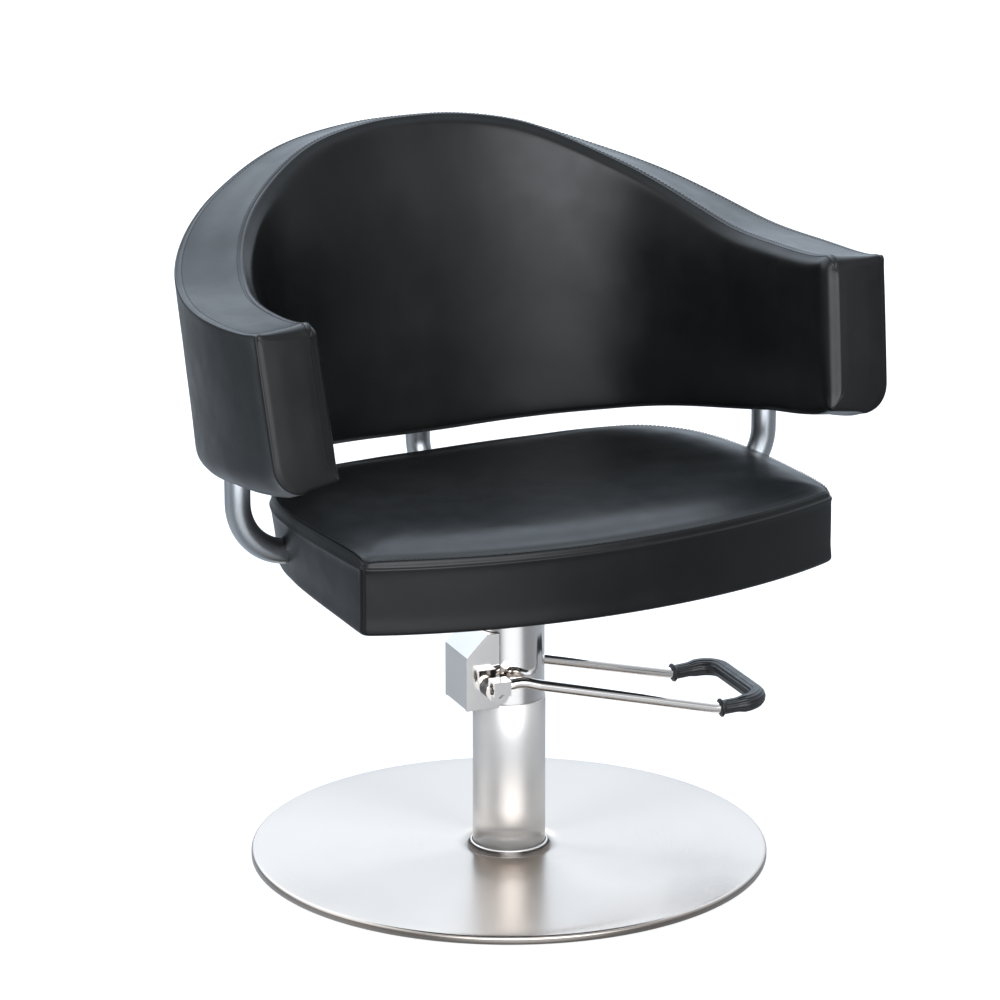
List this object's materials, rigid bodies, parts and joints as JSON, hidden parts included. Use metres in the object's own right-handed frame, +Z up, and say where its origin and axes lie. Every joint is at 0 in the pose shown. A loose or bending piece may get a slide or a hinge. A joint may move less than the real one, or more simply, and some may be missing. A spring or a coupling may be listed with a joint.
{
  "type": "styling chair",
  "caption": "Hydraulic salon styling chair: round floor disc, pumped swivelling column with foot lever, padded seat and a one-piece wrap-round padded back that forms the arms.",
  "frame": {"origin": "centre of the round base on the floor, on the column's axis", "axes": "+Z up along the column, the sitter faces -Y, +X to the sitter's left, where the foot lever points"},
  "size_m": [0.767, 0.58, 0.8055],
  "materials": {
    "stainless": "stainless steel with a fine turned grain",
    "chrome": "bright chrome plate",
    "satin": "satin metallic, slightly blue-grey",
    "steel": "plain machined or zinc-plated steel",
    "iron": "dark primed plate",
    "brass": "machined bearing brass",
    "black_plastic": "black moulded plastic",
    "rubber": "black moulded rubber, ribbed on the grip",
    "leather": "smooth black leatherette with a soft sheen and sewn seams",
    "wood": "bent and flat beech plywood, unfinished",
    "cloth": "thin black non-woven dust cloth"
  },
  "bodies": {
    "base": {"floor_pad": "rubber", "ballast_plate": "iron", "base_bolt_1": "steel", "base_bolt_2": "steel", "base_bolt_3": "steel", "base_bolt_4": "steel", "base_cover": "stainless", "column_sleeve": "chrome", "column_foot_ring": "chrome", "pump_body": "chrome", "pump_cylinder": "steel", "gland_nut": "chrome", "ram_wiper": "rubber", "ram_guide_bush": "brass", "pump_cover": "chrome", "pivot_bush_front": "black_plastic", "pivot_bush_rear": "black_plastic"},
    "lever": {"pivot_shaft": "steel", "cam_arm": "steel", "lever_rod": "chrome", "lever_hub_front": "chrome", "lever_hub_rear": "chrome", "lever_screw_front": "steel", "lever_screw_rear": "steel", "lever_grip": "rubber"},
    "plunger": {"plunger": "steel", "plunger_spring": "steel"},
    "ram": {"ram_rod": "chrome", "piston_head": "steel", "piston_seal": "rubber", "thrust_washer": "brass"},
    "seat": {"seat_frame": "steel", "carrying_tube_left": "satin", "carrying_tube_right": "satin", "carrying_tube_rear": "satin", "seat_board": "wood", "seat_dust_cover": "cloth", "tube_grub_screw_left": "steel", "tube_grub_screw_right": "steel", "tube_grub_screw_rear": "steel", "seat_cushion": "leather", "swivel_plate": "steel", "back_upholstery": "leather", "back_shell": "wood", "back_base_strip": "black_plastic", "seat_bolt_1": "steel", "seat_bolt_2": "steel", "seat_bolt_3": "steel", "seat_bolt_4": "steel", "back_socket_left": "steel", "back_pin_left": "steel", "back_socket_right": "steel", "back_pin_right": "steel", "back_socket_rear": "steel", "back_pin_rear": "steel"}
  },
  "joints": [
    {"name": "lever_pump", "type": "hinge", "parent": "base", "child": "lever", "pos_m": [-0.0338, 0.00367, 0.2065], "axis": [0.108, 0.9942, 0], "range_deg": [-12, 22]},
    {"name": "plunger_slide", "type": "slide", "parent": "base", "child": "plunger", "axis": [0, 0, 1], "range_m": [-0.0045, 0.0075], "deforming": ["plunger_spring"]},
    {"name": "seat_lift", "type": "slide", "parent": "base", "child": "ram", "axis": [0, 0, 1], "range_m": [0, 0.13]},
    {"name": "seat_swivel", "type": "hinge", "parent": "ram", "child": "seat", "pos_m": [0, 0, 0.34], "axis": [0, 0, 1], "continuous": true}
  ],
  "couplings": [
    {"joint": "plunger_slide", "follows": "lever_pump", "m_per_rad": 0.018}
  ]
}
